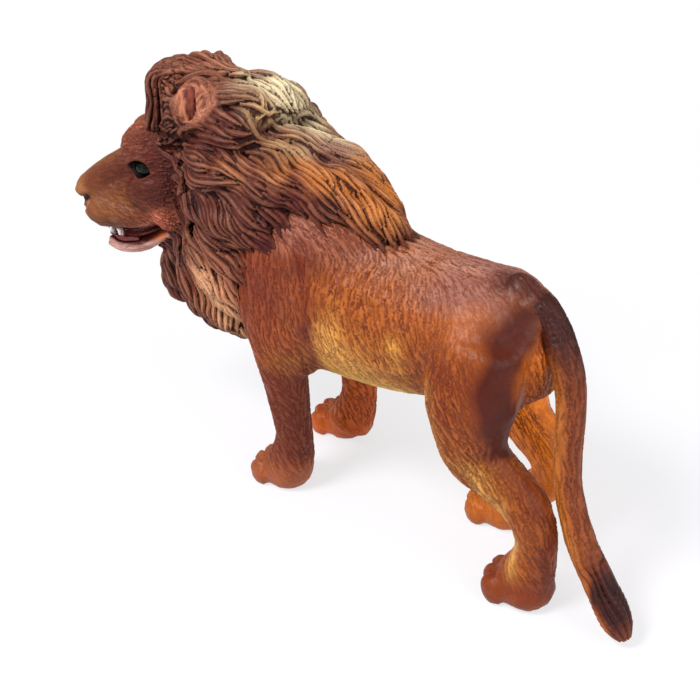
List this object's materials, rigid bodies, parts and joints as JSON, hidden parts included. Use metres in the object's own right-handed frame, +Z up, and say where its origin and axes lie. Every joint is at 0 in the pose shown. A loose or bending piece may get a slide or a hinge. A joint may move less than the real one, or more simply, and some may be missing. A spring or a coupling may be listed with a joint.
{
  "type": "toy lion figurine",
  "caption": "Standing male lion figure in moulded plastic, with a full mane, turned head, open mouth and hanging tufted tail, resting on flat paw soles.",
  "frame": {"origin": "on the floor under the middle of the figure's box, between the four paws", "axes": "+Z up from the soles, +Y towards the tail, +X towards the lion's left side"},
  "size_m": [0.0414, 0.136, 0.0946],
  "materials": {
    "coat": "satin painted, engraved with short fur strokes",
    "shoulder": "satin painted, dark red-brown wash",
    "far_shoulder": "satin painted, orange wash",
    "haunch": "satin painted, yellow to dark brown",
    "far_haunch": "satin painted, orange",
    "mane": "satin painted, dark with pale dry-brushed crests",
    "tail": "satin painted, dark tuft",
    "face": "satin painted",
    "jaw": "satin painted",
    "tongue": "gloss painted",
    "teeth": "gloss painted",
    "eye": "gloss painted"
  },
  "bodies": {
    "root": {"torso": "coat", "mane": "mane", "front_left_leg": "shoulder", "front_right_leg": "far_shoulder", "hind_left_leg": "haunch", "hind_right_leg": "far_haunch", "tail": "tail", "head": "face", "lower_jaw": "jaw", "tongue": "tongue", "upper_teeth": "teeth", "lower_teeth": "teeth", "left_eye": "eye", "right_eye": "eye"}
  },
  "joints": []
}
